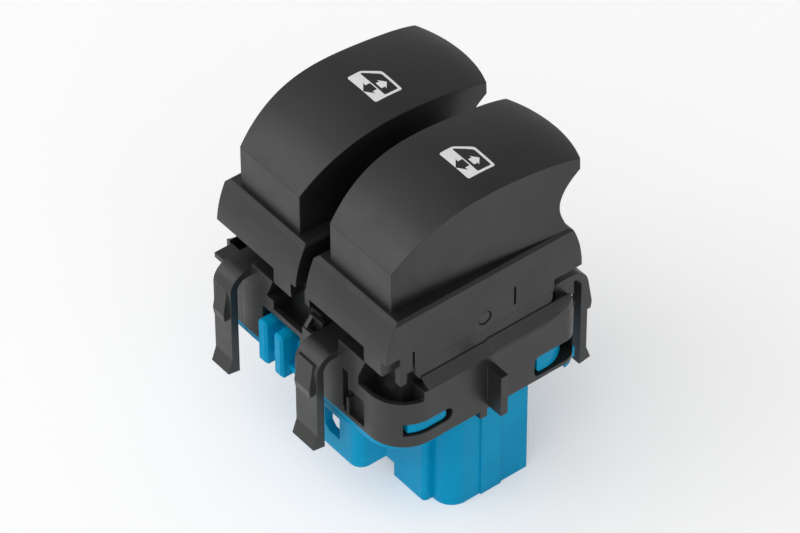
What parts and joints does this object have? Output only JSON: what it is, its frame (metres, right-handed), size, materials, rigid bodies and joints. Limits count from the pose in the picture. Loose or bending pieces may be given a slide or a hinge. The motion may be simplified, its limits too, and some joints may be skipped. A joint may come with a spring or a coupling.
{
  "type": "power window switch",
  "caption": "Twin-rocker power window switch: black snap-in housing, blue base with connector socket, see-saw contacts inside.",
  "frame": {"origin": "centre of the panel aperture, on the face of the panel; the snap noses catch on a ledge 1 mm under it", "axes": "+X from the left rocker to the right rocker, -Y the front edge that is pressed down, +Z out of the panel towards the user"},
  "size_m": [0.0528, 0.0484, 0.0639],
  "materials": {
    "black_housing": "fine satin, moulded",
    "black_carrier": "fine satin, moulded",
    "cap_satin": "smooth satin",
    "blue_base": "satin, moulded",
    "board": "solder-masked board",
    "tinned_pin": "tin plated",
    "contact_brass": "stamped",
    "spring_steel": "drawn wire",
    "white_plunger": "smooth",
    "clear_guide": "clear moulding",
    "lamp_chip": "clear dome",
    "chip_black": "ceramic chip",
    "white_print": "white pictogram print on the caps"
  },
  "bodies": {
    "housing": {"housing_frame": "black_housing", "connector_base": "blue_base", "circuit_board": "board", "terminal_pin_1": "tinned_pin", "terminal_pin_2": "tinned_pin", "terminal_pin_3": "tinned_pin", "terminal_pin_4": "tinned_pin", "terminal_pin_5": "tinned_pin", "terminal_pin_6": "tinned_pin", "terminal_pin_7": "tinned_pin", "terminal_pin_8": "tinned_pin", "common_post_left": "contact_brass", "common_post_right": "contact_brass", "down_contact_left": "contact_brass", "down_contact_right": "contact_brass", "up_contact_left": "contact_brass", "up_contact_right": "contact_brass", "lamp_left": "lamp_chip", "lamp_right": "lamp_chip", "resistor_left": "chip_black", "resistor_right": "chip_black"},
    "rocker_left": {"rocker_carrier_left": "black_carrier", "rocker_cap_left": "cap_satin", "light_guide_left": "clear_guide", "plunger_spring_left": "spring_steel"},
    "rocker_right": {"rocker_carrier_right": "black_carrier", "rocker_cap_right": "cap_satin", "light_guide_right": "clear_guide", "plunger_spring_right": "spring_steel"},
    "plunger_left": {"plunger_left": "white_plunger"},
    "plunger_right": {"plunger_right": "white_plunger"},
    "blade_left": {"contact_blade_left": "contact_brass"},
    "blade_right": {"contact_blade_right": "contact_brass"}
  },
  "joints": [
    {"name": "rocker_hinge_left", "type": "hinge", "parent": "housing", "child": "rocker_left", "pos_m": [-0.0115, 0, 0.0126], "axis": [1, 0, 0], "range_deg": [-7, 7], "stiffness_Nm_per_rad": 0.5},
    {"name": "plunger_slide_left", "type": "slide", "parent": "rocker_left", "child": "plunger_left", "axis": [0, 0, 1], "range_m": [0, 0.0006], "stiffness_N_per_m": 300, "springref_m": -0.003, "deforming": ["plunger_spring_left"]},
    {"name": "blade_hinge_left", "type": "hinge", "parent": "housing", "child": "blade_left", "pos_m": [-0.0115, 0, 0.001], "axis": [1, 0, 0], "range_deg": [-7, 7]},
    {"name": "rocker_hinge_right", "type": "hinge", "parent": "housing", "child": "rocker_right", "pos_m": [0.0115, 0, 0.0126], "axis": [1, 0, 0], "range_deg": [-7, 7], "stiffness_Nm_per_rad": 0.5},
    {"name": "plunger_slide_right", "type": "slide", "parent": "rocker_right", "child": "plunger_right", "axis": [0, 0, 1], "range_m": [0, 0.0006], "stiffness_N_per_m": 300, "springref_m": -0.003, "deforming": ["plunger_spring_right"]},
    {"name": "blade_hinge_right", "type": "hinge", "parent": "housing", "child": "blade_right", "pos_m": [0.0115, 0, 0.001], "axis": [1, 0, 0], "range_deg": [-7, 7]}
  ],
  "couplings": [
    {"joint": "blade_hinge_left", "follows": "rocker_hinge_left", "ratio": -1},
    {"joint": "blade_hinge_right", "follows": "rocker_hinge_right", "ratio": -1}
  ]
}
